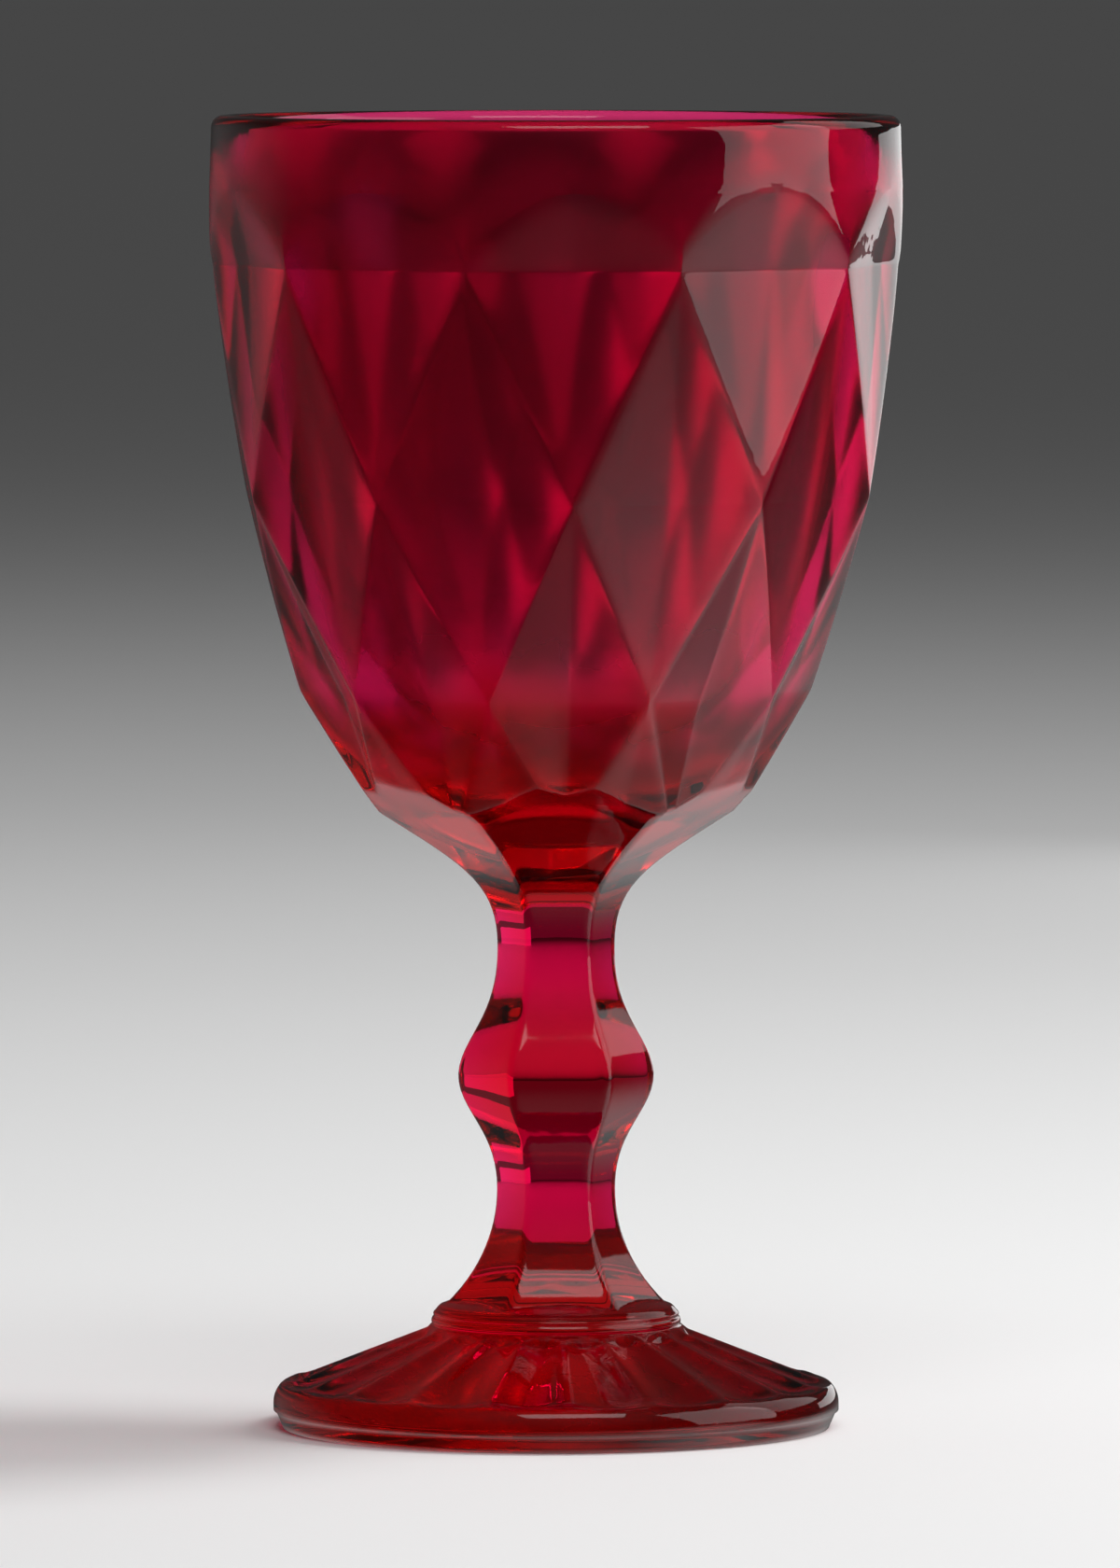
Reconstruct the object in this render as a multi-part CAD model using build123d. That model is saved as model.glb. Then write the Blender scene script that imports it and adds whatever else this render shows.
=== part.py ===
"""Water goblet of pressed glass: bowl, stem, collar and foot, each fused to the next on a flat face.

Millimetres, +Z up. The origin is the middle of the resting face, under the foot.
A face of the stem, a lower diamond of the bowl and a ridge of the foot look along -Y.
"""

import os
from math import asin, atan2, cos, degrees, hypot, radians, sin, sqrt, tan

from build123d import *

# Heights above the table
RIM_HEIGHT = 165.0
ARCH_HEIGHT = 156.0
RING_A = 146.4
RING_B = 117.5
RING_D = 92.7
RING_E = 76.0
CAVITY_FLOOR = 83.0
BOWL_JOINT = 66.0
UPPER_NECK_TOP = 62.2
UPPER_NECK_BOTTOM = 59.4
KNOP_HEIGHT = 44.3
LOWER_NECK_TOP = 30.6
LOWER_NECK_BOTTOM = 30.0
STEM_JOINT = 15.4
COLLAR_JOINT = 12.8

# Bowl: ten diamonds round, whose ridges lie on a smooth body between rings A and E
DIAMONDS_ROUND = 10
BAND_RADIUS = 43.5
BAND_TAPER = 0.3
LIP_THICKNESS = 3.2
LIP_ROUND = 1.5
RING_A_INSET = 0.3
RING_E_RADIUS = 22.6
BODY_POWER = 2.06
CROSSING_FLAT = 0.05
FACET_BEND = 50.0
WALL_AT_RIDGE = 4.8
WALL_AT_FLOOR = 6.4
CAVITY_ROUND = 24.0
CAVITY_BEND = 100.0

# Stem: reaches from the axis to the middle of a flat
STEM_SIDES = 6
NECK_FLAT = 6.62
KNOP_FLAT = 10.85
KNOP_ROUND = 6.9
UPPER_FLARE_RADIUS = 11.6
UPPER_FLARE_ANGLE = 54.0
LOWER_FLARE_RADIUS = 22.0

# Collar: two rolled beads with a groove between them
COLLAR_RADIUS = 15.7
COLLAR_TOP_RADIUS = 14.5
COLLAR_GROOVE_HEIGHT = 14.0
COLLAR_GROOVE_DEPTH = 0.4

# Foot
FOOT_RADIUS = 35.6
FOOT_NECK_RADIUS = 15.9
FOOT_EDGE_HEIGHT = 5.3
FOOT_EDGE_ROUND = 3.2
FOOT_BAND_HEIGHT = 2.2
FOOT_BAND_STEP = 0.25
REST_OUTER_RADIUS = 34.4
REST_INNER_RADIUS = 30.0
RECESS_HEIGHT = 2.6
FLUTES = 20
FLUTE_ROUND = 22.0
RIDGE_WIDTH = 1.0

# Room that a cutting shape takes beyond what it cuts, and that parts one flute's cutter from the next
BEYOND = 12.0
SHARE_GAP = 0.02

# The turn about Z that makes a flat look along -Y
FRONT = 90.0


def body_radius(z):
    """Radius of the smooth body that the ridges of the bowl lie on."""
    drop = (RING_A - z) / (RING_A - RING_E)
    widest = BAND_RADIUS - RING_A_INSET
    return widest - (widest - RING_E_RADIUS) * drop**BODY_POWER


def opposite_flats(side, turn):
    """Solid between two opposite flats: one outline, mirrored, and drawn out sideways."""
    other = mirror(side, about=Plane.YZ)
    top = Line(side @ 1, other @ 1)
    bottom = Line(other @ 0, side @ 0)
    face = make_face([*side.edges(), top, *other.edges(), bottom])
    return Rot(0, 0, turn) * extrude(Plane.XZ * face, BAND_RADIUS + BEYOND, both=True)


def many_sided(side, count, first_turn):
    """Solid of count equal flats, an even number, with the given outline."""
    turns = [first_turn + k * 360.0 / count for k in range(count // 2)]
    solid = opposite_flats(side, turns[0])
    for turn in turns[1:]:
        solid = solid & opposite_flats(side, turn)
    return solid


def diamond_side(on_ridge):
    """Outline of one column of diamonds, from below ring E to above the rim.

    A ring meets a column at a crossing of ridges or at a diamond's level crease, in turn;
    on_ridge says which of them ring E has.
    """
    half_turn = radians(180.0 / DIAMONDS_ROUND)
    rings = [RING_E, RING_D, RING_B, RING_A]
    points = []
    bends = []
    for low, high in zip([None] + rings, rings):
        if low is not None:
            middle = (low + high) / 2
            points.append((body_radius(middle) * cos(half_turn / 2), middle))
            bends.append(FACET_BEND)
        reach = body_radius(high)
        points.append((reach - CROSSING_FLAT if on_ridge else reach * cos(half_turn), high))
        bends.append(0.0)
        on_ridge = not on_ridge
    ended_on_ridge = not on_ridge
    reach_a, height_a = points[-1]
    if ended_on_ridge:
        points.append((reach_a + BEYOND, height_a + BEYOND))
        points.append((reach_a + BEYOND, RIM_HEIGHT + BEYOND))
        bends.append(0.0)
    else:
        lean = (ARCH_HEIGHT - RING_A) / (BAND_RADIUS - reach_a)
        points.append((reach_a + BEYOND, height_a + BEYOND * lean))
    slope = (points[1][0] - points[0][0]) / (points[1][1] - points[0][1])
    points[0] = (points[0][0] - slope * (RING_E - BOWL_JOINT + BEYOND), BOWL_JOINT - BEYOND)
    return FilletPolyline(*points, radius=bends[1:])


def stem_side():
    """Outline of a flat of the stem, from the collar up to the flare that carries the bowl."""
    rise = KNOP_FLAT - NECK_FLAT
    upper = UPPER_NECK_BOTTOM - KNOP_HEIGHT
    lower = KNOP_HEIGHT - LOWER_NECK_TOP
    upper_sum = (rise**2 + upper**2) / (2 * rise)
    lower_sum = (rise**2 + lower**2) / (2 * rise)
    upper_hollow = upper_sum - KNOP_ROUND
    lower_hollow = lower_sum - KNOP_ROUND
    upper_turn = degrees(asin(upper / upper_sum))
    lower_turn = degrees(asin(lower / lower_sum))
    base_turn = degrees(asin((LOWER_NECK_BOTTOM - STEM_JOINT) / LOWER_FLARE_RADIUS))
    base = CenterArc(
        (NECK_FLAT + LOWER_FLARE_RADIUS, LOWER_NECK_BOTTOM), LOWER_FLARE_RADIUS, 180 + base_turn, -base_turn
    )
    below_knop = CenterArc((NECK_FLAT + lower_hollow, LOWER_NECK_TOP), lower_hollow, 180, -lower_turn)
    knop = CenterArc((KNOP_FLAT - KNOP_ROUND, KNOP_HEIGHT), KNOP_ROUND, -lower_turn, lower_turn + upper_turn)
    above_knop = CenterArc(
        (NECK_FLAT + upper_hollow, UPPER_NECK_BOTTOM), upper_hollow, 180 + upper_turn, -upper_turn
    )
    flare = CenterArc(
        (NECK_FLAT + UPPER_FLARE_RADIUS, UPPER_NECK_TOP), UPPER_FLARE_RADIUS, 180, -UPPER_FLARE_ANGLE
    )
    lower_neck = Line(base @ 1, below_knop @ 0)
    upper_neck = Line(above_knop @ 1, flare @ 0)
    flare_end = flare @ 1
    reach = BAND_RADIUS + BEYOND
    spread_height = flare_end.Y + (reach - flare_end.X) / tan(radians(UPPER_FLARE_ANGLE))
    spread = Line(flare_end, (reach, spread_height))
    upright = Line(spread @ 1, (reach, RIM_HEIGHT + BEYOND))
    return Wire([base, lower_neck, below_knop, knop, above_knop, upper_neck, flare, spread, upright])


def turned(*edges):
    """Solid of revolution about Z of the closed outline that the edges make."""
    return revolve(Plane.XZ * make_face([*edges]), Axis.Z)


def bowl_blank():
    """The bowl before its facets: a round band with a rounded lip, over a smooth hollow."""
    lip_outer = BAND_RADIUS - BAND_TAPER
    wall = FilletPolyline(
        (0, BOWL_JOINT),
        (BAND_RADIUS, BOWL_JOINT),
        (BAND_RADIUS, ARCH_HEIGHT),
        (lip_outer, RIM_HEIGHT),
        (lip_outer - LIP_THICKNESS, RIM_HEIGHT),
        (body_radius(RING_B) - WALL_AT_RIDGE, RING_B),
        (body_radius(RING_D) - WALL_AT_FLOOR, CAVITY_FLOOR),
        (0, CAVITY_FLOOR),
        radius=[0.0, 0.0, LIP_ROUND, LIP_ROUND, CAVITY_BEND, CAVITY_ROUND],
    )
    axis = Line((0, CAVITY_FLOOR), (0, BOWL_JOINT))
    return turned(*wall.edges(), axis)


def below_height(solid, height):
    """The part of a solid under a level."""
    return split(solid, bisect_by=Plane.XY.offset(height), keep=Keep.BOTTOM)


def bowl(stem_form):
    """The faceted bowl on its flaring root, down to the joint with the stem."""
    step = 360.0 / DIAMONDS_ROUND
    front_diamonds = many_sided(diamond_side(True), DIAMONDS_ROUND, FRONT)
    side_diamonds = many_sided(diamond_side(False), DIAMONDS_ROUND, FRONT + step / 2)
    return bowl_blank() & front_diamonds & side_diamonds & stem_form


def collar():
    """The round ring of two rolled beads between the stem and the foot."""
    groove = COLLAR_RADIUS - COLLAR_GROOVE_DEPTH
    low_middle = (COLLAR_JOINT + COLLAR_GROOVE_HEIGHT) / 2
    high_middle = (COLLAR_GROOVE_HEIGHT + STEM_JOINT) / 2
    low_bead = ThreePointArc((groove, COLLAR_JOINT), (COLLAR_RADIUS, low_middle), (groove, COLLAR_GROOVE_HEIGHT))
    high_bead = ThreePointArc(
        (groove, COLLAR_GROOVE_HEIGHT), (groove, high_middle), (COLLAR_TOP_RADIUS, STEM_JOINT)
    )
    inside = Polyline((COLLAR_TOP_RADIUS, STEM_JOINT), (0, STEM_JOINT), (0, COLLAR_JOINT), (groove, COLLAR_JOINT))
    return turned(low_bead, high_bead, *inside.edges())


def foot_blank():
    """The foot before its flutes: a cone with a rounded edge, a narrow band below it and a hollow underside."""
    upper = FilletPolyline(
        (0, COLLAR_JOINT),
        (FOOT_NECK_RADIUS, COLLAR_JOINT),
        (FOOT_RADIUS, FOOT_EDGE_HEIGHT),
        (FOOT_RADIUS, FOOT_BAND_HEIGHT),
        (FOOT_RADIUS - FOOT_BAND_STEP, FOOT_BAND_HEIGHT),
        (REST_OUTER_RADIUS, 0),
        (REST_INNER_RADIUS, 0),
        radius=[0.0, FOOT_EDGE_ROUND, 0.0, 0.0, 0.0],
    )
    recess_radius = (REST_INNER_RADIUS**2 + RECESS_HEIGHT**2) / (2 * RECESS_HEIGHT)
    recess_turn = degrees(atan2(REST_INNER_RADIUS, recess_radius - RECESS_HEIGHT))
    recess = CenterArc((0, RECESS_HEIGHT - recess_radius), recess_radius, 90 - recess_turn, recess_turn)
    axis = Line((0, RECESS_HEIGHT), (0, COLLAR_JOINT))
    return turned(*upper.edges(), recess, axis)


def flute_cutter():
    """A round bar over the foot's cone, leaning so that the flutes leave even ridges from neck to edge."""
    half_flute = radians(180.0 / FLUTES) - RIDGE_WIDTH / 2 / FOOT_RADIUS
    run = (FOOT_RADIUS - FOOT_NECK_RADIUS) * cos(half_flute)
    drop = COLLAR_JOINT - FOOT_EDGE_HEIGHT
    neck_gap = sqrt(FLUTE_ROUND**2 - (FOOT_NECK_RADIUS * sin(half_flute)) ** 2)
    edge_gap = sqrt(FLUTE_ROUND**2 - (FOOT_RADIUS * sin(half_flute)) ** 2)
    lean = atan2(drop, run) + asin((neck_gap - edge_gap) / hypot(run, drop))
    across = FOOT_NECK_RADIUS * cos(half_flute) + neck_gap * sin(lean)
    height = COLLAR_JOINT + neck_gap * cos(lean)
    reach = FOOT_RADIUS + BEYOND
    bar = Pos(across, 0, height) * Rot(0, 90 + degrees(lean), 0) * Cylinder(FLUTE_ROUND, 2 * reach)
    half_share = reach * tan(radians(180.0 / FLUTES)) - SHARE_GAP
    share = Polygon((0, 0), (reach, -half_share), (reach, half_share), align=None)
    return bar & extrude(share, COLLAR_JOINT + BEYOND)


def foot():
    """The fluted foot, with a ridge along -Y."""
    cutter = flute_cutter()
    step = 360.0 / FLUTES
    cutters = [Rot(0, 0, (k + 0.5) * step - FRONT) * cutter for k in range(FLUTES)]
    return foot_blank() - cutters


def main():
    os.makedirs("parts", exist_ok=True)
    stem_form = many_sided(stem_side(), STEM_SIDES, FRONT)
    pieces = {
        "bowl": bowl(stem_form),
        "stem": below_height(stem_form, BOWL_JOINT),
        "collar": collar(),
        "foot": foot(),
    }
    for name, piece in pieces.items():
        export_step(piece, f"parts/{name}.step")
        print(f"{name}: {piece.volume:.0f} mm3, valid {piece.is_valid}")


main()
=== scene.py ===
"""Water goblet of ruby pressed glass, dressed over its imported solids.

One closed glass body stands for the bowl, stem, collar and foot, because the real goblet is one casting:
a turned blank is drawn row by row, then a node tree cuts the diamonds, the six stem faces and the foot's
flutes into it by rule. Metres, +Z up, the front looks along -Y.
"""

from collections import namedtuple
from math import asin, atan2, cos, pi, radians, sin, sqrt, tan

import bmesh
import bpy
from bpy.props import FloatProperty, FloatVectorProperty, IntProperty, PointerProperty
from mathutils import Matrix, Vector


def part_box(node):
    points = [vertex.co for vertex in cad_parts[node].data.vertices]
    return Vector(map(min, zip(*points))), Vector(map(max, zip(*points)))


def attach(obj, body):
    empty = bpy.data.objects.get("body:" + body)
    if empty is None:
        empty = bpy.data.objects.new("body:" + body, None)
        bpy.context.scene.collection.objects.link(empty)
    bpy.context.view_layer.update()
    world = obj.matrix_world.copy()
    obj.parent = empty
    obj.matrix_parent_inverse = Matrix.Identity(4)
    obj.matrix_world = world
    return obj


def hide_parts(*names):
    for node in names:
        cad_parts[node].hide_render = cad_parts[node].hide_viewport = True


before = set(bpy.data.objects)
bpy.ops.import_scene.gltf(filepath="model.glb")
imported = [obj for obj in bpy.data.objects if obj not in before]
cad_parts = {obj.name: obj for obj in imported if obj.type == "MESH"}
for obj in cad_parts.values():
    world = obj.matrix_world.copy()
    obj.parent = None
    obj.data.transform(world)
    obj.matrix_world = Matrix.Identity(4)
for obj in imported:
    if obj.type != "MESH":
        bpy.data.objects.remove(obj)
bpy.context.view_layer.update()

bl_info = {
    "name": "Ruby Goblet",
    "version": (1, 0, 0),
    "blender": (4, 5, 0),
    "location": "View3D > Sidebar > Goblet",
    "description": "Builds a diamond cut goblet of ruby glass and the stage it stands on",
    "category": "Object",
}

BOWL_LOW, BOWL_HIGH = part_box("bowl")
STEM_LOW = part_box("stem")[0]
FOOT_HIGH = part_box("foot")[1]

# Points round the body: a multiple of the diamonds, stem faces and flutes, and of four parts to a diamond
COLUMNS = 360

# Further from the axis than any part of the goblet, for rows that no diamond or face of the stem cuts
FAR = 1.0

# One level line round the blank: how far it reaches, how high it is, how far from the axis the two sets of
# diamonds and the stem's faces lie there, the collar's reach, how much the diamonds and all cuts act on it,
# how deep the flutes are, and how much the mould chilled its skin
Row = namedtuple(
    "Row",
    "reach height front side flat ring facet cut flute chill",
    defaults=(FAR, FAR, FAR, 0.0, 0.0, 0.0, 0.0, 0.0),
)


def length(name, description, default):
    """A settable size in metres."""
    return FloatProperty(name=name, description=description, default=default, unit="LENGTH", precision=5)


def turning(name, description, default):
    """A settable turn."""
    return FloatProperty(name=name, description=description, default=default, subtype="ANGLE")


def watts(name, description, default):
    """A settable power of a lamp."""
    return FloatProperty(name=name, description=description, default=default, unit="POWER")


def amount(name, description, default):
    """A settable strength, share or other plain number."""
    return FloatProperty(name=name, description=description, default=default)


def how_many(name, description, default):
    """A settable count of like faces or hollows round the axis."""
    return IntProperty(name=name, description=description, default=default, min=3)


def shade(name, description, default):
    """A settable colour."""
    return FloatVectorProperty(
        name=name, description=description, default=default, subtype="COLOR", size=3, min=0.0, max=1.0
    )


class BowlSizes(bpy.types.PropertyGroup):
    """Sizes of the bowl."""

    rim_height: length("Rim height", "Top of the lip above the table", BOWL_HIGH.z)
    band_radius: length("Band radius", "Plain round band under the lip", BOWL_HIGH.x)
    band_taper: length("Band taper", "How much the band narrows up to the lip", 0.0003)
    lip_thickness: length("Lip thickness", "Width of the lip", 0.0032)
    lip_round: length("Lip round", "Radius of the lip's edges", 0.0015)
    arch_height: length("Arch height", "Top of the arches that the upper diamonds end in", 0.156)
    ring_a: length("Ring A", "Height of the highest ring of ridge crossings", 0.1464)
    ring_b: length("Ring B", "Height of the second ring of crossings", 0.1175)
    ring_d: length("Ring D", "Height of the third ring of crossings", 0.0927)
    ring_e: length("Ring E", "Height of the lowest ring of crossings", 0.076)
    ring_a_inset: length("Ring A inset", "How far ring A lies inside the band", 0.0003)
    ring_e_radius: length("Ring E radius", "Reach of the ridges at ring E", 0.0226)
    body_power: amount("Body power", "How full the body is between the rings", 2.3)
    face_swell: amount("Face swell", "How far faces swell out to the body", 0.3)
    diamonds: how_many("Diamonds round", "Diamonds in one ring", 10)
    ridge_soft: length("Ridge softness", "How much the ridges are fire polished", 0.0005)
    arch_soft: length("Arch softness", "How softly the arches run out into the band", 0.0014)
    crease_depth: length("Crease depth", "Depth of the crease down the middle of a diamond", 0.0003)
    lower_crease: length("Lower crease", "Depth of that crease in the diamonds under ring B", 0.0021)
    cavity_floor: length("Cavity floor", "Lowest point of the hollow", 0.083)
    wall_at_ridge: length("Wall at ridge", "Glass behind ring B", 0.0048)
    wall_at_floor: length("Wall at floor", "Glass behind ring D, at the hollow's floor", 0.0064)
    cavity_round: length("Cavity round", "Radius between the hollow's floor and wall", 0.024)
    cavity_bend: length("Cavity bend", "Radius of the bend in the hollow's wall", 0.1)


class StemSizes(bpy.types.PropertyGroup):
    """Sizes of the stem and the collar. A face is measured from the axis to its middle."""

    sides: how_many("Stem sides", "Faces of the stem", 6)
    edge_soft: length("Edge softness", "How much the stem's edges are fire polished", 0.0013)
    ease: length("Ease", "Height over which the bends of the stem's outline are eased", 0.005)
    neck_flat: length("Neck", "Face of the two necks", 0.00652)
    knop_flat: length("Knop", "Face of the knop at its widest", 0.01121)
    knop_round: length("Knop round", "Radius of the knop's outline", 0.0069)
    knop_height: length("Knop height", "Widest level of the knop", 0.0443)
    upper_neck_top: length("Upper neck top", "Where the flare under the bowl starts", 0.0622)
    upper_neck_bottom: length("Upper neck bottom", "Where the knop's upper hollow starts", 0.0594)
    lower_neck_top: length("Lower neck top", "Where the knop's lower hollow starts", 0.0306)
    lower_neck_bottom: length("Lower neck bottom", "Where the lower flare starts", 0.03)
    upper_flare_radius: length("Upper flare radius", "Radius of the flare under the bowl", 0.0116)
    upper_flare_angle: turning("Upper flare angle", "Turn of that flare", radians(54.0))
    lower_flare_radius: length("Lower flare radius", "Radius of the flare over the collar", 0.022)
    collar_radius: length("Collar radius", "Reach of the collar's lower bead", 0.0157)
    collar_groove: length("Collar groove", "Depth of the groove between the beads", 0.0004)
    groove_height: length("Groove height", "Level of that groove", 0.014)
    shoulder_radius: length("Shoulder radius", "Reach of the collar's rounded shoulder", 0.0145)
    shoulder_rise: length("Shoulder rise", "How far the shoulder climbs up the stem's faces", 0.0011)


class FootSizes(bpy.types.PropertyGroup):
    """Sizes of the foot."""

    radius: length("Foot radius", "Reach of the foot", FOOT_HIGH.x)
    top_height: length("Top height", "Level where the collar stands on the foot", FOOT_HIGH.z)
    neck_radius: length("Neck radius", "Reach of the foot under the collar", 0.0159)
    edge_height: length("Edge height", "Level where cone and edge would meet", 0.0053)
    edge_round: length("Edge round", "Radius of the foot's edge", 0.0032)
    band_height: length("Band height", "Height of the narrow band under the edge", 0.0022)
    band_step: length("Band step", "How far that band is set in", 0.00025)
    rest_outer: length("Rest outer radius", "Outside of the ring that it stands on", 0.0344)
    rest_inner: length("Rest inner radius", "Inside of that ring", 0.03)
    recess: length("Recess", "Height of the hollow under the foot", 0.0026)
    flutes: how_many("Flutes", "Flutes round the foot", 20)
    flute_depth: length("Flute depth", "Depth of a flute near the edge", 0.0014)
    flute_end: length("Flute end", "Reach at which the flutes run out", 0.0346)


class GlassLook(bpy.types.PropertyGroup):
    """The ruby glass."""

    skin: shade("Skin", "Light that passes in and out of the glass", (0.66, 0.08, 0.22))
    tint: shade("Tint", "Light that a thickness of glass keeps", (0.965, 0.016, 0.62))
    depth: amount("Depth of colour", "Absorption for each metre of glass", 305.0)
    glare: amount("Glare", "Strength of straight reflections", 0.55)
    ior: amount("Refraction", "How strongly the glass bends light", 1.52)
    ripple: length("Ripple", "Height of the fire polished skin's ripples", 0.00005)
    polish: amount("Polish", "Roughness of the polished outside", 0.012)
    chill: amount("Chill", "Roughness of the hollow's wall, which the mould chilled", 0.2)


class StageSetup(bpy.types.PropertyGroup):
    """Floor, lamps and camera."""

    floor_radius: length("Floor radius", "Reach of the floor", 30.0)
    floor_shade: shade("Floor", "Colour of the floor", (0.82, 0.82, 0.82))
    dusk: amount("Dusk", "Grey light from all round", 0.04)
    key_power: watts("Key lamp", "Power of the large lamp on the right", 4.4)
    back_power: watts("Back lamp", "Power of the low lamp behind on the right", 0.5)
    wall_power: watts("Wall lamp", "Power of the high lamp behind on the right", 2.4)
    fill: amount("Fill", "Grey light from low on the right", 1.35)
    spill: amount("Spill", "How that light spreads round to the front", 0.42)
    bounce: amount("Bounce", "Grey light from low behind", 0.9)
    canopy: amount("Canopy", "Grey light from above in front", 0.12)
    edge: amount("Edge", "Grey light from behind on the left", 0.12)
    top_power: watts("Top lamp", "Power of the lamp high in front", 5.5)
    side_power: watts("Side lamp", "Power of the lamp that casts the shadow", 6.5)
    sky_power: watts("Sky lamp", "Power of the wide lamp overhead", 9.0)
    veil: amount("Veil", "Grey light from all round, seen through the glass", 0.16)
    eye_distance: length("Eye distance", "Camera to the goblet's axis", 1.9)
    eye_height: length("Eye height", "Camera above the table", 0.195)
    eye_turn: turning("Eye turn", "Turn of the camera to the left of the front", radians(3.0))
    aim_height: length("Aim height", "Level that the camera looks at", 0.081)
    aim_side: length("Aim side", "How far right of the axis the camera looks", 0.0005)
    lens: amount("Lens", "Focal length in millimetres", 347.7)


class Field:
    """A number at every point, whose arithmetic adds Math nodes to a tree."""

    def __init__(self, tree, socket):
        self.tree = tree
        self.socket = socket

    def math(self, operation, *others):
        """This number and up to two others through one Math node."""
        node = self.tree.nodes.new("ShaderNodeMath")
        node.operation = operation
        for entry, value in zip(node.inputs, (self, *others)):
            if isinstance(value, Field):
                self.tree.links.new(value.socket, entry)
            else:
                entry.default_value = value
        return Field(self.tree, node.outputs[0])

    def __add__(self, other):
        return self.math("ADD", other)

    def __sub__(self, other):
        return self.math("SUBTRACT", other)

    def __rsub__(self, other):
        return self.math("MULTIPLY_ADD", -1.0, other)

    def __mul__(self, other):
        return self.math("MULTIPLY", other)

    def __truediv__(self, other):
        return self.math("DIVIDE", other)

    def __rtruediv__(self, other):
        return self.math("POWER", -1.0) * other

    def __pow__(self, other):
        return self.math("POWER", other)

    def least(self, other):
        return self.math("MINIMUM", other)

    def most(self, other):
        return self.math("MAXIMUM", other)

    def soft_least(self, other, width):
        return self.math("SMOOTH_MIN", other, width)

    def soft_most(self, other, width):
        return self.math("SMOOTH_MAX", other, width)

    def soft_size(self, width):
        """The size of a number without its sign, rounded off near zero."""
        return (self * self + width * width).math("SQRT")

    def size(self):
        return self.math("ABSOLUTE")

    def sign(self):
        return self.math("SIGN")

    def below(self, other):
        return self.math("LESS_THAN", other)

    def nearest(self):
        return self.math("ROUND")

    def cosine(self):
        return self.math("COSINE")

    def sine(self):
        return self.math("SINE")

    def arc_cosine(self):
        return self.math("ARCCOSINE")

    def toward(self, other, share):
        """This number moved by a share of the way to another."""
        return self + (other - self) * share


# Rounding of the cuts: creases as a turn, flutes as a part of half a flute, the others in metres
CREASE_SOFT = radians(0.6)
RING_SOFT = 0.0004
ROOT_SOFT = 0.00012
COLLAR_SOFT = 0.0002
FLUTE_SOFT = 0.22

# How strongly columns gather at a ridge
GATHER = 1.35

# Points nearer than this become one
WELD = 1e-6


def gathered(part):
    """Eases a part from 0 to 1 so that points gather at both ends, most at 0."""
    return 0.5 - (part**GATHER * pi).cosine() * 0.5


def attribute(tree, name):
    """A number that the blank carries at every point."""
    node = tree.nodes.new("GeometryNodeInputNamedAttribute")
    node.data_type = "FLOAT"
    node.inputs["Name"].default_value = name
    return Field(tree, node.outputs["Attribute"])


def cutting_tree(sizes, material):
    """The node tree that cuts a turned blank: diamonds, stem faces, collar and flutes."""
    tree = bpy.data.node_groups.new("Goblet Cutting", "GeometryNodeTree")
    tree.interface.new_socket(name="Geometry", in_out="INPUT", socket_type="NodeSocketGeometry")
    tree.interface.new_socket(name="Geometry", in_out="OUTPUT", socket_type="NodeSocketGeometry")
    for name, value in sizes.items():
        entry = tree.interface.new_socket(name=name, in_out="INPUT", socket_type="NodeSocketFloat")
        entry.default_value = value
    given = tree.nodes.new("NodeGroupInput")
    size = {name: Field(tree, given.outputs[name]) for name in sizes}
    turn = attribute(tree, "turn")
    reach = attribute(tree, "reach")
    height = attribute(tree, "height")
    front = attribute(tree, "front")
    side = attribute(tree, "side")
    flat = attribute(tree, "flat")
    ring = attribute(tree, "ring")
    facet = attribute(tree, "facet")
    cut = attribute(tree, "cut")
    flute = attribute(tree, "flute")

    half_step = pi / size["Diamonds Round"]
    number = (turn * size["Diamonds Round"]).nearest()
    offset = turn * size["Diamonds Round"] - number
    edge = diamond_edge(reach, front, side, half_step)
    local = aligned_angle(offset, edge, half_step)
    plain = offset * half_step * 2.0
    local = plain.toward(local, facet)
    angle = local + number * half_step * 2.0

    diamonds = diamond_reach(size, height, local, edge, front, side, half_step)
    outside = reach.soft_least(reach.toward(diamonds, facet), size["Arch Softness"] * facet)
    outside = outside.soft_least(stem_reach(size, flat, angle), ROOT_SOFT)
    outside = outside.soft_most(ring, COLLAR_SOFT)
    final_reach = reach.toward(outside, cut)
    final_height = height - flute * flute_shape(size, angle)

    place = tree.nodes.new("ShaderNodeCombineXYZ")
    tree.links.new((final_reach * angle.sine()).socket, place.inputs["X"])
    tree.links.new((final_reach * angle.cosine() * -1.0).socket, place.inputs["Y"])
    tree.links.new(final_height.socket, place.inputs["Z"])
    finish_tree(tree, given, place, material)
    return tree


def diamond_edge(reach, front, side, half_step):
    """Turn from a front diamond's middle to its edge: the ridge, or the arch's edge higher up."""
    slope = (side / front - half_step.cosine()) / half_step.sine()
    ridge = slope.math("ARCTANGENT").most(0.0).least(half_step)
    arch = (front / reach).least(1.0).arc_cosine()
    return ridge.least(arch)


def aligned_angle(offset, edge, half_step):
    """Turn of a point from its diamond's middle, with points gathered along the ridges."""
    part = offset.size() * 2.0
    inner = edge - edge * gathered((1.0 - part * 2.0).most(0.0))
    outer = (half_step - edge) * gathered((part * 2.0 - 1.0).most(0.0))
    return (inner + outer) * offset.sign()


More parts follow.
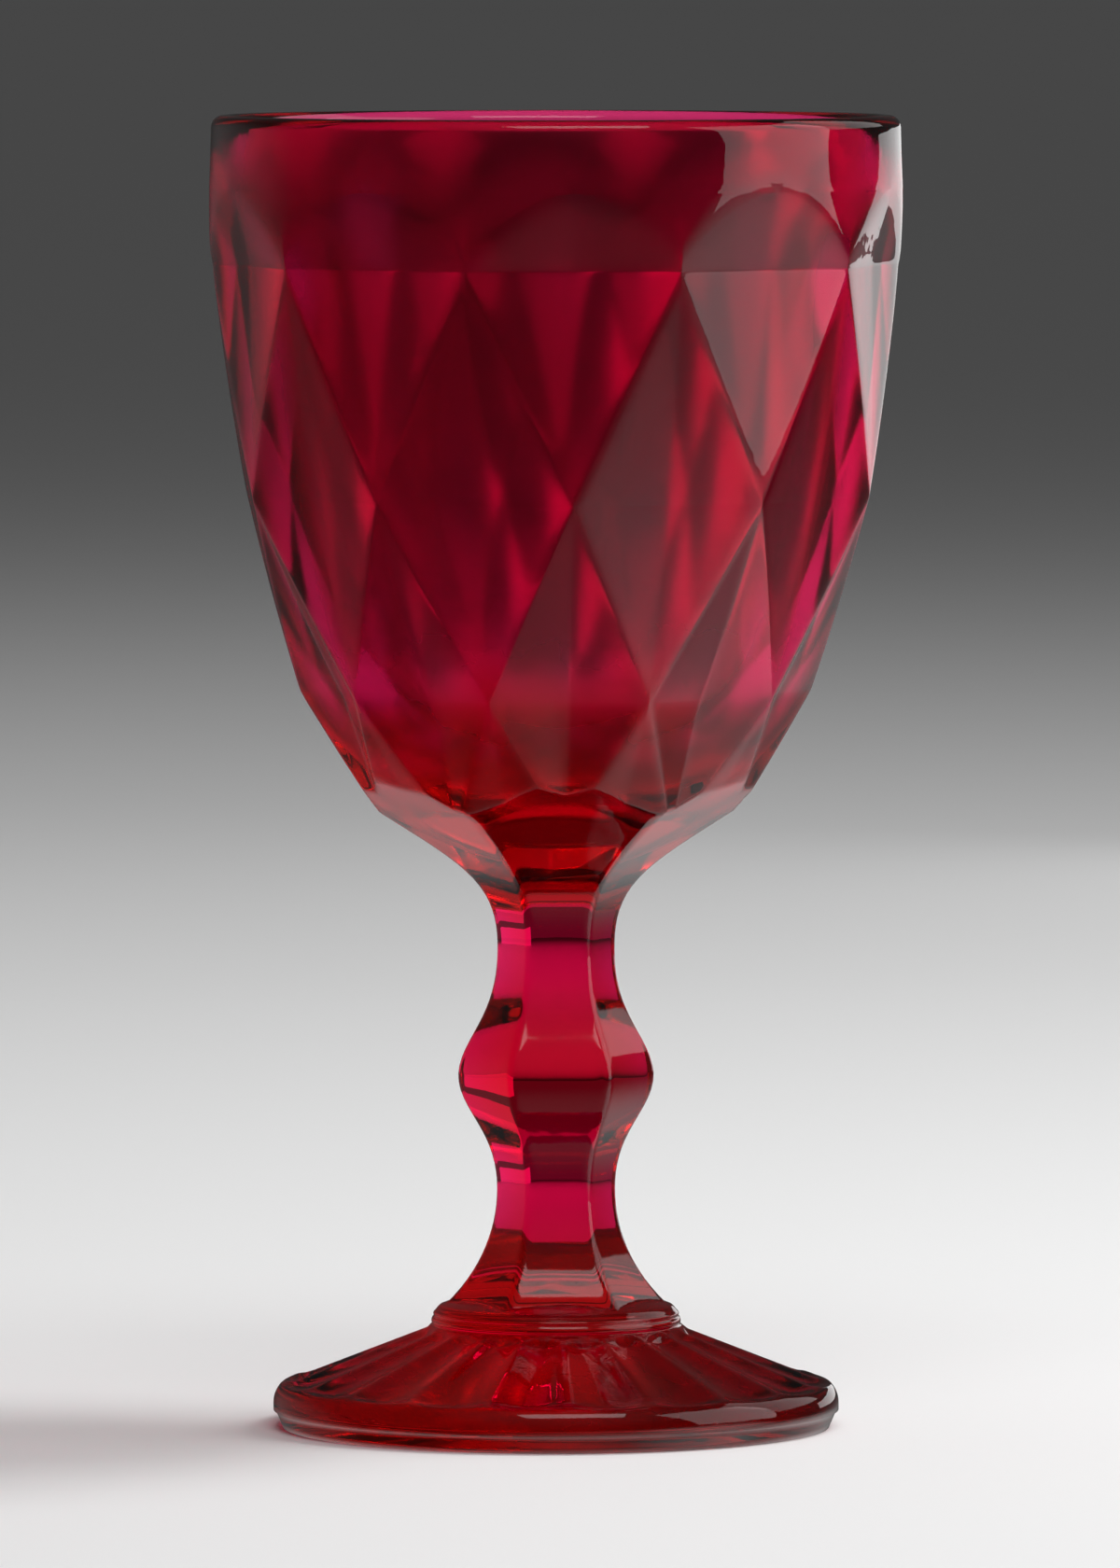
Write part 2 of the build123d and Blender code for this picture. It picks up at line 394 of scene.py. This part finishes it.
def diamond_reach(size, height, local, edge, front, side, half_step):
    """How far the flat faces of the diamonds let the body reach, each creased down its middle."""
    from_side = half_step - local.size()
    crease = size["Crease Depth"] / half_step
    lower_crease = size["Lower Crease"] / half_step
    front_slope = crease.toward(lower_crease, height.below(size["Lower Top"]))
    front_crease = (edge - local.soft_size(CREASE_SOFT)).most(0.0) * front_slope
    side_crease = (half_step - edge - from_side.soft_size(CREASE_SOFT)).most(0.0) * crease
    front_reach = (front - front_crease) / local.cosine()
    side_reach = (side - side_crease) / from_side.cosine()
    return front_reach.soft_least(side_reach, size["Ridge Softness"])


def stem_reach(size, flat, angle):
    """How far the faces of the stem let it reach."""
    step = 2.0 * pi / size["Stem Sides"]
    from_middle = (angle - (angle / step).nearest() * step).size()
    face = flat / from_middle.cosine()
    next_face = flat / (step - from_middle).cosine()
    return face.soft_least(next_face, size["Edge Softness"])


def flute_shape(size, angle):
    """Depth of a hollow flute from its ridge, 0, to its middle, 1."""
    half = pi / size["Flutes"]
    part = angle / half * 0.5
    from_ridge = (part - part.nearest()).size() * 2.0
    to_middle = 1.0 - from_ridge.soft_size(FLUTE_SOFT)
    return 1.0 - to_middle * to_middle


def finish_tree(tree, given, place, material):
    """Moves the blank's points, welds those that meet and gives the glass."""
    move = tree.nodes.new("GeometryNodeSetPosition")
    weld = tree.nodes.new("GeometryNodeMergeByDistance")
    weld.inputs["Distance"].default_value = WELD
    smooth = tree.nodes.new("GeometryNodeSetShadeSmooth")
    real = tree.nodes.new("GeometryNodeRealizeInstances")
    coat = tree.nodes.new("GeometryNodeSetMaterial")
    coat.inputs["Material"].default_value = material
    result = tree.nodes.new("NodeGroupOutput")
    tree.links.new(given.outputs["Geometry"], move.inputs["Geometry"])
    tree.links.new(place.outputs["Vector"], move.inputs["Position"])
    chain = [move, weld, smooth, real, coat, result]
    for before, after in zip(chain, chain[1:]):
        tree.links.new(before.outputs["Geometry"], after.inputs["Geometry"])


def evenly(start, end, count):
    """Values after start, up to and with end."""
    return [start + (end - start) * k / count for k in range(1, count + 1)]


def eased(start, end, count):
    """Values after start, up to and with end, gathered at both."""
    return [start + (end - start) * (1 - cos(pi * k / count)) / 2 for k in range(1, count + 1)]


def arc(centre, radius, start, turn, count):
    """Points along an arc, its start left out."""
    angles = evenly(start, start + turn, count)
    return [(centre[0] + radius * cos(a), centre[1] + radius * sin(a)) for a in angles]


def straight(start, end, count):
    """Points along a line, its start left out."""
    return list(zip(evenly(start[0], end[0], count), evenly(start[1], end[1], count)))


def corner(before, point, after, radius, count):
    """Points round a corner of an outline, from the end of the first side to the start of the next."""
    one = Vector(before) - Vector(point)
    two = Vector(after) - Vector(point)
    half = one.angle(two) / 2
    middle = (one.normalized() + two.normalized()).normalized()
    centre = Vector(point) + middle * (radius / sin(half))
    first = Vector(point) + one.normalized() * (radius / tan(half)) - centre
    turn = pi - 2 * half
    if one.x * two.y - one.y * two.x > 0:
        turn = -turn
    start = atan2(first.y, first.x)
    opening = [(centre.x + first.x, centre.y + first.y)]
    return opening + arc(centre, radius, start, turn, count)


def stem_outline(stem, height):
    """Distance from the axis to the middle of a stem face, drawn in arcs from the collar up to the bowl."""
    rise = stem.knop_flat - stem.neck_flat
    if height < stem.lower_neck_bottom:
        drop = stem.lower_neck_bottom - height
        return stem.neck_flat + stem.lower_flare_radius - sqrt(stem.lower_flare_radius**2 - drop**2)
    if height > stem.upper_neck_top:
        climb = height - stem.upper_neck_top
        bend = stem.upper_flare_radius * sin(stem.upper_flare_angle)
        spread = max(climb - bend, 0.0) * tan(stem.upper_flare_angle)
        climb = min(climb, bend)
        curve = stem.upper_flare_radius - sqrt(stem.upper_flare_radius**2 - climb**2)
        return stem.neck_flat + curve + spread
    near_end = stem.upper_neck_bottom if height > stem.knop_height else stem.lower_neck_top
    far = abs(near_end - stem.knop_height)
    away = abs(height - stem.knop_height)
    both_radii = (rise**2 + far**2) / (2 * rise)
    if away > far:
        return stem.neck_flat
    if away < stem.knop_round * far / both_radii:
        return stem.knop_flat - stem.knop_round + sqrt(stem.knop_round**2 - away**2)
    hollow = both_radii - stem.knop_round
    return stem.neck_flat + hollow - sqrt(hollow**2 - (far - away) ** 2)


# Heights on each side of a level that its easing takes in
EASE_STEPS = 5


def stem_face(stem, height):
    """Distance from the axis to the middle of a stem face, with the bends of the drawn outline eased."""
    total = 0.0
    weight = 0.0
    for k in range(-EASE_STEPS, EASE_STEPS + 1):
        bell = 1 + cos(pi * k / (EASE_STEPS + 1))
        total += bell * stem_outline(stem, height + stem.ease * k / EASE_STEPS)
        weight += bell
    return total / weight


def body_reach(bowl, height):
    """Radius of the smooth body that the ridges of the bowl lie on."""
    widest = bowl.band_radius - bowl.ring_a_inset
    drop = (bowl.ring_a - height) / (bowl.ring_a - bowl.ring_e)
    return widest - (widest - bowl.ring_e_radius) * drop**bowl.body_power


def diamond_faces(bowl, height):
    """Distances from the axis to the front and side diamonds at a height: straight from ring to ring."""
    narrow = cos(pi / bowl.diamonds)
    levels = (bowl.ring_e, bowl.ring_d, bowl.ring_b, bowl.ring_a, bowl.arch_height)
    corners = [body_reach(bowl, level) for level in levels[:-1]]
    front = [corners[0], corners[1] * narrow, corners[2], corners[3] * narrow, bowl.band_radius]
    side = [corners[0] * narrow, corners[1], corners[2] * narrow, corners[3]]
    side.append(corners[3] + bowl.arch_height - bowl.ring_a)

    def straight_at(faces, place):
        k = sum(place > level for level in levels[1:-1])
        share = (place - levels[k]) / (levels[k + 1] - levels[k])
        return faces[k] + (faces[k + 1] - faces[k]) * share

    def softened(faces):
        around = straight_at(faces, height - RING_SOFT) + straight_at(faces, height + RING_SOFT)
        return around / 4 + straight_at(faces, height) / 2

    swell = 0.0
    if bowl.ring_e < height < bowl.ring_a:
        swell = bowl.face_swell * (body_reach(bowl, height) - straight_at(corners, height))
    return softened(front) + swell, softened(side) + swell


def ramp(value, start, end):
    """0 up to start, 1 from end on, eased between."""
    share = min(max((value - start) / (end - start), 0.0), 1.0)
    return share * share * (3 - 2 * share)


# How much the mould chilled the skin, where the hollow's wall is 1
TIP_CHILL = 0.3
FLOOR_CHILL = 2.0
STEM_CHILL = 0.2
RECESS_CHILL = 1.3

# Where the hollow's tip ends and its round floor starts, as parts of the floor's reach
TIP_END = 0.35
FLOOR_START = 0.6

# Where the hollow's wall starts above its floor and is full under ring B, and where the lip's polish starts
# and is full under the rim
WALL_START = 0.006
WALL_FULL = 0.008
LIP_START = 0.006
LIP_FULL = 0.002


def hollow_chill(bowl, share, height):
    """How much the hollow is chilled: most round its floor, little at its tip, none at the lip."""
    off_tip = ramp(share, TIP_END, FLOOR_START)
    up_wall = ramp(height, bowl.cavity_floor + WALL_START, bowl.ring_b - WALL_FULL)
    at_lip = ramp(height, bowl.rim_height - LIP_START, bowl.rim_height - LIP_FULL)
    on_floor = TIP_CHILL + (FLOOR_CHILL - TIP_CHILL) * off_tip
    return on_floor * (1 - up_wall) + up_wall * (1 - at_lip)


def hollow_rows(bowl):
    """Rows of the hollow, from its floor up over the lip to the top of the arches."""
    lip_outer = bowl.band_radius - bowl.band_taper
    floor = (0.0, bowl.cavity_floor)
    foot = (body_reach(bowl, bowl.ring_d) - bowl.wall_at_floor, bowl.cavity_floor)
    bend = (body_reach(bowl, bowl.ring_b) - bowl.wall_at_ridge, bowl.ring_b)
    inner_lip = (lip_outer - bowl.lip_thickness, bowl.rim_height)
    outer_lip = (lip_outer, bowl.rim_height)
    band = (bowl.band_radius, bowl.arch_height)
    points = [floor]
    rounded = corner(floor, foot, bend, bowl.cavity_round, count=14)
    points += straight(floor, rounded[0], count=2) + rounded[1:]
    rounded = corner(foot, bend, inner_lip, bowl.cavity_bend, count=4)
    points += straight(points[-1], rounded[0], count=2) + rounded[1:]
    rounded = corner(bend, inner_lip, outer_lip, bowl.lip_round, count=6)
    points += straight(points[-1], rounded[0], count=6) + rounded[1:]
    rounded = corner(inner_lip, outer_lip, band, bowl.lip_round, count=6)
    points += straight(points[-1], rounded[0], count=1) + rounded[1:]
    rows = []
    for reach, height in points:
        rows.append(Row(reach, height, chill=hollow_chill(bowl, reach / foot[0], height)))
    top = points[-1]
    for reach, height in straight(top, band, count=5):
        share = (top[1] - height) / (top[1] - band[1])
        rows.append(Row(reach, height, *diamond_faces(bowl, height), facet=share, cut=1.0))
    return rows


# The lens-like root between bowl and stem: how far it rises over ring E and hangs under it
LENS_RISE = 0.006
LENS_DROP = 0.002


def bowl_rows(bowl, stem):
    """Rows of the cut outside of the bowl, from the top of the arches down to the stem's neck."""
    lens_top = bowl.ring_e + LENS_RISE
    lens_bottom = bowl.ring_e - LENS_DROP
    heights = eased(bowl.arch_height, bowl.ring_a, count=22)
    heights += eased(bowl.ring_a, bowl.ring_b, count=26)
    heights += eased(bowl.ring_b, bowl.ring_d, count=24)
    heights += evenly(bowl.ring_d, lens_top, count=12)
    heights += evenly(lens_top, lens_bottom, count=20)
    heights += evenly(lens_bottom, stem.upper_neck_top, count=12)
    rows = []
    for height in heights:
        facet = ramp(height, BOWL_LOW.z, lens_bottom)
        face = stem_face(stem, height)
        reach = bowl.band_radius
        if facet < 1.0:
            reach = face / cos(pi / stem.sides)
        rows.append(Row(reach, height, *diamond_faces(bowl, height), flat=face, facet=facet, cut=1.0))
    return rows


# The collar's upper bead and shoulder: the bead's swell as a part of the groove's depth, how late the
# shoulder turns in, and how far it has come towards the neck where it ends
BEAD_SWELL = 0.5
SHOULDER_POWER = 2.5
SHOULDER_END = 0.5


def collar_reach(stem, foot, height):
    """Reach of the collar's two beads and shoulder at a height."""
    groove = stem.collar_radius - stem.collar_groove
    bead = (stem.groove_height - foot.top_height) / 2
    if height < stem.groove_height:
        share = (height - foot.top_height - bead) / bead
        return groove + stem.collar_groove * sqrt(max(1 - share * share, 0.0))
    top = STEM_LOW.z
    if height < top:
        share = (height - stem.groove_height) / (top - stem.groove_height)
        round_in = groove - stem.shoulder_radius
        swell = stem.collar_groove * BEAD_SWELL * sin(pi * min(share * 2, 1.0))
        return groove + swell - round_in * share**SHOULDER_POWER
    share = (height - top) / stem.shoulder_rise
    return stem.shoulder_radius - (stem.shoulder_radius - stem.neck_flat) * SHOULDER_END * share


def stem_rows(stem, foot):
    """Rows of the stem and collar, from the upper neck down to the foot."""
    shoulder_top = STEM_LOW.z + stem.shoulder_rise
    rows = []
    for height in evenly(stem.upper_neck_top, shoulder_top, count=44):
        face = stem_face(stem, height)
        rows.append(Row(face / cos(pi / stem.sides), height, flat=face, cut=1.0, chill=STEM_CHILL))
    for height in evenly(shoulder_top, foot.top_height, count=22):
        face = stem_face(stem, max(height, STEM_LOW.z))
        ring = collar_reach(stem, foot, height)
        rows.append(Row(face / cos(pi / stem.sides), height, flat=face, ring=ring, cut=1.0))
    return rows


# A flute's depth at the collar, as a part of its full depth, and the last part of its run, where it runs out
FLUTE_START = 0.6
FLUTE_FADE = 0.12


def flute_depth(foot, reach):
    """Depth of the flutes at a reach: they deepen outwards and run out before the edge."""
    along = (reach - foot.neck_radius) / (foot.flute_end - foot.neck_radius)
    fade = min((1 - along) / FLUTE_FADE, 1.0)
    return foot.flute_depth * (FLUTE_START + (1 - FLUTE_START) * along) * fade


def foot_rows(foot):
    """Rows of the foot: fluted cone, round edge, narrow band, resting ring and recess."""
    neck = (foot.neck_radius, foot.top_height)
    edge = (foot.radius, foot.edge_height)
    band = (foot.radius, foot.band_height)
    rounded = corner(neck, edge, band, foot.edge_round, count=10)
    points = [neck] + straight(neck, rounded[0], count=20) + rounded[1:]
    step = (foot.radius - foot.band_step, foot.band_height)
    points += straight(points[-1], band, count=1) + [step]
    points += straight(step, (foot.rest_outer, 0.0), count=3)
    points += straight((foot.rest_outer, 0.0), (foot.rest_inner, 0.0), count=2)
    dome = (foot.rest_inner**2 + foot.recess**2) / (2 * foot.recess)
    opening = asin(foot.rest_inner / dome)
    points += arc((0.0, foot.recess - dome), dome, pi / 2 - opening, opening, count=6)
    points[-1] = (0.0, foot.recess)
    rows = []
    for reach, height in points:
        on_cone = height > foot.band_height and foot.neck_radius < reach < foot.flute_end
        in_recess = reach < foot.rest_inner and height < foot.recess
        depth = flute_depth(foot, reach) if on_cone else 0.0
        rows.append(Row(reach, height, flute=depth, chill=RECESS_CHILL if in_recess else 0.0))
    return rows


def turned_blank(rows):
    """A closed mesh of level rows round the axis, with a point at each end, that carries their numbers."""
    last = len(rows) - 1
    places = []
    carried = []
    for index, row in enumerate(rows):
        for column in range(COLUMNS if 0 < index < last else 1):
            turn = column / COLUMNS
            angle = turn * 2 * pi
            places.append((row.reach * sin(angle), -row.reach * cos(angle), row.height))
            carried.append((turn, *row))

    def at(index, column):
        if index == 0:
            return 0
        if index == last:
            return len(places) - 1
        return 1 + (index - 1) * COLUMNS + column % COLUMNS

    faces = []
    for index in range(last):
        for column in range(COLUMNS):
            after = index + 1
            beside = column + 1
            quad = (at(index, column), at(after, column), at(after, beside), at(index, beside))
            faces.append(tuple(dict.fromkeys(quad)))
    mesh = bpy.data.meshes.new("goblet_blank")
    mesh.from_pydata(places, [], faces)
    for position, name in enumerate(("turn", *Row._fields)):
        layer = mesh.attributes.new(name, "FLOAT", "POINT")
        layer.data.foreach_set("value", [numbers[position] for numbers in carried])
    return mesh


def outward(mesh):
    """Turns every face of a closed mesh outwards."""
    work = bmesh.new()
    work.from_mesh(mesh)
    bmesh.ops.recalc_face_normals(work, faces=work.faces)
    work.to_mesh(mesh)
    work.free()


# Ripples in a metre of the skin, how fine their detail is, and how far roughness wanders with them
RIPPLE_SCALE = 110.0
RIPPLE_DETAIL = 3.0
PATCHES = 0.4


def wandering(tree):
    """A number from 0 to 1 that wanders over the skin."""
    place = tree.nodes.new("ShaderNodeTexCoord")
    noise = tree.nodes.new("ShaderNodeTexNoise")
    noise.inputs["Scale"].default_value = RIPPLE_SCALE
    noise.inputs["Detail"].default_value = RIPPLE_DETAIL
    tree.links.new(place.outputs["Object"], noise.inputs["Vector"])
    return Field(tree, noise.outputs["Fac"])


def rippled_skin(tree, look, wander):
    """The way the skin faces, with its ripples. Returns its socket."""
    bump = tree.nodes.new("ShaderNodeBump")
    bump.inputs["Strength"].default_value = 1.0
    bump.inputs["Distance"].default_value = look.ripple
    tree.links.new(wander.socket, bump.inputs["Height"])
    return bump.outputs["Normal"]


def skin_roughness(tree, look, wander):
    """Roughness of the skin: polished outside, rougher where the mould chilled it, in patches."""
    carried = tree.nodes.new("ShaderNodeAttribute")
    carried.attribute_name = "chill"
    chill = Field(tree, carried.outputs["Fac"])
    even = chill * (look.chill - look.polish) + look.polish
    return even * (wander * (2 * PATCHES) + (1 - PATCHES))


def ruby_glass(look):
    """Clear polished glass that is ruby in its depth, with the faint ripples of a pressed skin."""
    material = bpy.data.materials.new("ruby_glass")
    material.use_nodes = True
    tree = material.node_tree
    tree.nodes.clear()
    output = tree.nodes.new("ShaderNodeOutputMaterial")
    glass = tree.nodes.new("ShaderNodeBsdfPrincipled")
    glass.inputs["Base Color"].default_value = (*look.skin, 1.0)
    glass.inputs["IOR"].default_value = look.ior
    glass.inputs["Specular Tint"].default_value = (look.glare,) * 3 + (1.0,)
    glass.inputs["Transmission Weight"].default_value = 1.0
    inside = tree.nodes.new("ShaderNodeVolumeAbsorption")
    inside.inputs["Color"].default_value = (*look.tint, 1.0)
    inside.inputs["Density"].default_value = look.depth
    wander = wandering(tree)
    tree.links.new(rippled_skin(tree, look, wander), glass.inputs["Normal"])
    tree.links.new(skin_roughness(tree, look, wander).socket, glass.inputs["Roughness"])
    tree.links.new(glass.outputs["BSDF"], output.inputs["Surface"])
    tree.links.new(inside.outputs["Volume"], output.inputs["Volume"])
    return material


def goblet_rows(scene):
    """All rows of the blank: from the hollow's floor over the lip and down to the middle of the recess."""
    rows = hollow_rows(scene.goblet_bowl)
    rows += bowl_rows(scene.goblet_bowl, scene.goblet_stem)
    rows += stem_rows(scene.goblet_stem, scene.goblet_foot)
    rows += foot_rows(scene.goblet_foot)
    return rows


def cut_sizes(scene):
    """The tree's named sizes."""
    return {
        "Diamonds Round": scene.goblet_bowl.diamonds,
        "Ridge Softness": scene.goblet_bowl.ridge_soft,
        "Arch Softness": scene.goblet_bowl.arch_soft,
        "Crease Depth": scene.goblet_bowl.crease_depth,
        "Lower Crease": scene.goblet_bowl.lower_crease,
        "Lower Top": scene.goblet_bowl.ring_b,
        "Stem Sides": scene.goblet_stem.sides,
        "Edge Softness": scene.goblet_stem.edge_soft,
        "Flutes": scene.goblet_foot.flutes,
    }


def cut_mesh(context, blank, sizes, material):
    """The plain mesh that the cutting tree makes of a blank, with its faces outwards."""
    modifier = blank.modifiers.new("Cutting", "NODES")
    modifier.node_group = cutting_tree(sizes, material)
    for entry in modifier.node_group.interface.items_tree:
        if entry.name in sizes:
            modifier[entry.identifier] = float(sizes[entry.name])
    seen = blank.evaluated_get(context.evaluated_depsgraph_get())
    mesh = bpy.data.meshes.new_from_object(seen)
    outward(mesh)
    return mesh


class GOBLET_OT_glass(bpy.types.Operator):
    """Turn the goblet's blank, cut it and give it its glass"""

    bl_idname = "goblet.glass"
    bl_label = "Goblet"

    def execute(self, context):
        scene = context.scene
        material = ruby_glass(scene.goblet_look)
        blank = bpy.data.objects.new("goblet_blank", turned_blank(goblet_rows(scene)))
        scene.collection.objects.link(blank)
        mesh = cut_mesh(context, blank, cut_sizes(scene), material)
        mesh.name = "goblet"
        bpy.data.objects.remove(blank)
        goblet = bpy.data.objects.new("goblet", mesh)
        scene.collection.objects.link(goblet)
        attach(goblet, "root")
        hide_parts("bowl", "stem", "collar", "foot")
        return {"FINISHED"}


# The floor's paint, and the corners of its edge
FLOOR_ROUGHNESS = 0.7
FLOOR_SHEEN = 0.2
FLOOR_CORNERS = 96


def floor_paint(setup):
    """Matt pale paint for the floor."""
    material = bpy.data.materials.new("stage_floor")
    material.use_nodes = True
    paint = material.node_tree.nodes["Principled BSDF"]
    paint.inputs["Base Color"].default_value = (*setup.floor_shade, 1.0)
    paint.inputs["Roughness"].default_value = FLOOR_ROUGHNESS
    paint.inputs["Specular IOR Level"].default_value = FLOOR_SHEEN
    return material


def lit_side(tree, place, direction, end, strength):
    """Light from one side of the room: full in a direction, none past a turn from it."""
    near = tree.nodes.new("ShaderNodeVectorMath")
    near.operation = "DOT_PRODUCT"
    near.inputs[1].default_value = Vector(direction).normalized()
    tree.links.new(place.outputs["Generated"], near.inputs[0])
    side = tree.nodes.new("ShaderNodeMapRange")
    side.interpolation_type = "SMOOTHSTEP"
    side.inputs["From Min"].default_value = cos(end)
    side.inputs["To Max"].default_value = strength
    tree.links.new(near.outputs["Value"], side.inputs["Value"])
    return Field(tree, side.outputs["Result"])


# The lighter sides of the room: the strength's name, the middle's direction, and the turn from it to the end
ROOM_SIDES = (
    ("fill", (0.81, -0.3, -0.5), radians(35)),
    ("spill", (0.45, -0.36, -0.82), radians(55)),
    ("bounce", (0.25, 0.5, -0.83), radians(58)),
    ("canopy", (0.1, -0.6, 0.8), radians(55)),
    ("edge", (-0.69, 0.69, -0.2), radians(40)),
)


def dim_room(setup):
    """Dim grey all round, lighter on some sides and where it shows through the glass."""
    world = bpy.data.worlds.new("stage_room")
    world.use_nodes = True
    tree = world.node_tree
    place = tree.nodes.new("ShaderNodeTexCoord")
    through = Field(tree, tree.nodes.new("ShaderNodeLightPath").outputs["Is Transmission Ray"])
    total = through * setup.veil + setup.dusk
    for name, direction, end in ROOM_SIDES:
        total = total + lit_side(tree, place, direction, end, getattr(setup, name))
    tree.links.new(total.socket, tree.nodes["Background"].inputs["Color"])
    return world


# The lamps: the name of each one's power, where it hangs, its size, and whether the glass mirrors it
Lamp = namedtuple("Lamp", "name power place width tall mirrored")
LAMPS = (
    Lamp("key_lamp", "key_power", (0.8, -0.2, 0.42), 0.75, 0.84, True),
    Lamp("back_lamp", "back_power", (0.55, 0.95, 0.1), 0.7, 0.19, True),
    Lamp("wall_lamp", "wall_power", (0.95, 0.55, 0.75), 0.9, 0.9, True),
    Lamp("top_lamp", "top_power", (0.1, -0.8, 1.25), 0.9, 0.5, True),
    Lamp("side_lamp", "side_power", (0.6, 0.15, 1.0), 0.35, 0.35, False),
    Lamp("sky_lamp", "sky_power", (0.2, 0.6, 1.5), 2.4, 2.4, False),
)

# Where on the goblet's axis the lamps look
LAMP_AIM = Vector((0.0, 0.0, 0.08))


def soft_lamp(setup, lamp):
    """A flat soft lamp that looks at the goblet and isn't seen itself."""
    light = bpy.data.lights.new(lamp.name, "AREA")
    light.shape = "RECTANGLE"
    light.size = lamp.width
    light.size_y = lamp.tall
    light.energy = getattr(setup, lamp.power)
    hung = bpy.data.objects.new(lamp.name, light)
    hung.location = lamp.place
    hung.rotation_euler = (LAMP_AIM - Vector(lamp.place)).to_track_quat("-Z", "Y").to_euler()
    hung.visible_camera = False
    hung.visible_glossy = lamp.mirrored
    return hung


# The camera's film height in millimetres, and how far it sees in metres
FILM_HEIGHT = 36.0
SIGHT_END = 100.0


class GOBLET_OT_stage(bpy.types.Operator):
    """Lay the floor, hang the lamps and set up the camera"""

    bl_idname = "goblet.stage"
    bl_label = "Stage"

    def execute(self, context):
        scene = context.scene
        setup = scene.goblet_stage
        bpy.ops.mesh.primitive_circle_add(
            vertices=FLOOR_CORNERS, radius=setup.floor_radius, fill_type="NGON"
        )
        floor = context.object
        floor.name = "stage_floor"
        floor.data.materials.append(floor_paint(setup))
        floor.visible_glossy = False
        for lamp in LAMPS:
            scene.collection.objects.link(soft_lamp(setup, lamp))
        scene.world = dim_room(setup)
        scene.view_settings.view_transform = "Standard"
        scene.camera = self.eye(scene, setup)
        return {"FINISHED"}

    def eye(self, scene, setup):
        """The camera, where the photograph was taken from."""
        camera = bpy.data.cameras.new("eye")
        camera.sensor_fit = "VERTICAL"
        camera.sensor_height = FILM_HEIGHT
        camera.lens = setup.lens
        camera.clip_end = SIGHT_END
        eye = bpy.data.objects.new("eye", camera)
        away = Vector((-sin(setup.eye_turn), -cos(setup.eye_turn), 0.0))
        right = Vector((cos(setup.eye_turn), -sin(setup.eye_turn), 0.0))
        eye.location = away * setup.eye_distance + Vector((0.0, 0.0, setup.eye_height))
        aim = right * setup.aim_side + Vector((0.0, 0.0, setup.aim_height))
        eye.rotation_euler = (aim - eye.location).to_track_quat("-Z", "Y").to_euler()
        scene.collection.objects.link(eye)
        return eye


class GOBLET_PT_panel(bpy.types.Panel):
    """Sizes, looks and stage of the goblet"""

    bl_idname = "GOBLET_PT_panel"
    bl_label = "Ruby Goblet"
    bl_space_type = "VIEW_3D"
    bl_region_type = "UI"
    bl_category = "Goblet"

    def draw(self, context):
        for operator in (GOBLET_OT_glass, GOBLET_OT_stage):
            self.layout.operator(operator.bl_idname)
        for name in GROUPS:
            group = getattr(context.scene, name)
            box = self.layout.box()
            for entry in group.__annotations__:
                box.prop(group, entry)


GROUPS = {
    "goblet_bowl": BowlSizes,
    "goblet_stem": StemSizes,
    "goblet_foot": FootSizes,
    "goblet_look": GlassLook,
    "goblet_stage": StageSetup,
}
CLASSES = (*GROUPS.values(), GOBLET_OT_glass, GOBLET_OT_stage, GOBLET_PT_panel)


def register():
    for each in CLASSES:
        bpy.utils.register_class(each)
    for name, group in GROUPS.items():
        setattr(bpy.types.Scene, name, PointerProperty(type=group))


def unregister():
    for name in GROUPS:
        delattr(bpy.types.Scene, name)
    for each in reversed(CLASSES):
        bpy.utils.unregister_class(each)


def main():
    register()
    bpy.ops.goblet.glass()
    bpy.ops.goblet.stage()


if __name__ == "__main__":
    main()
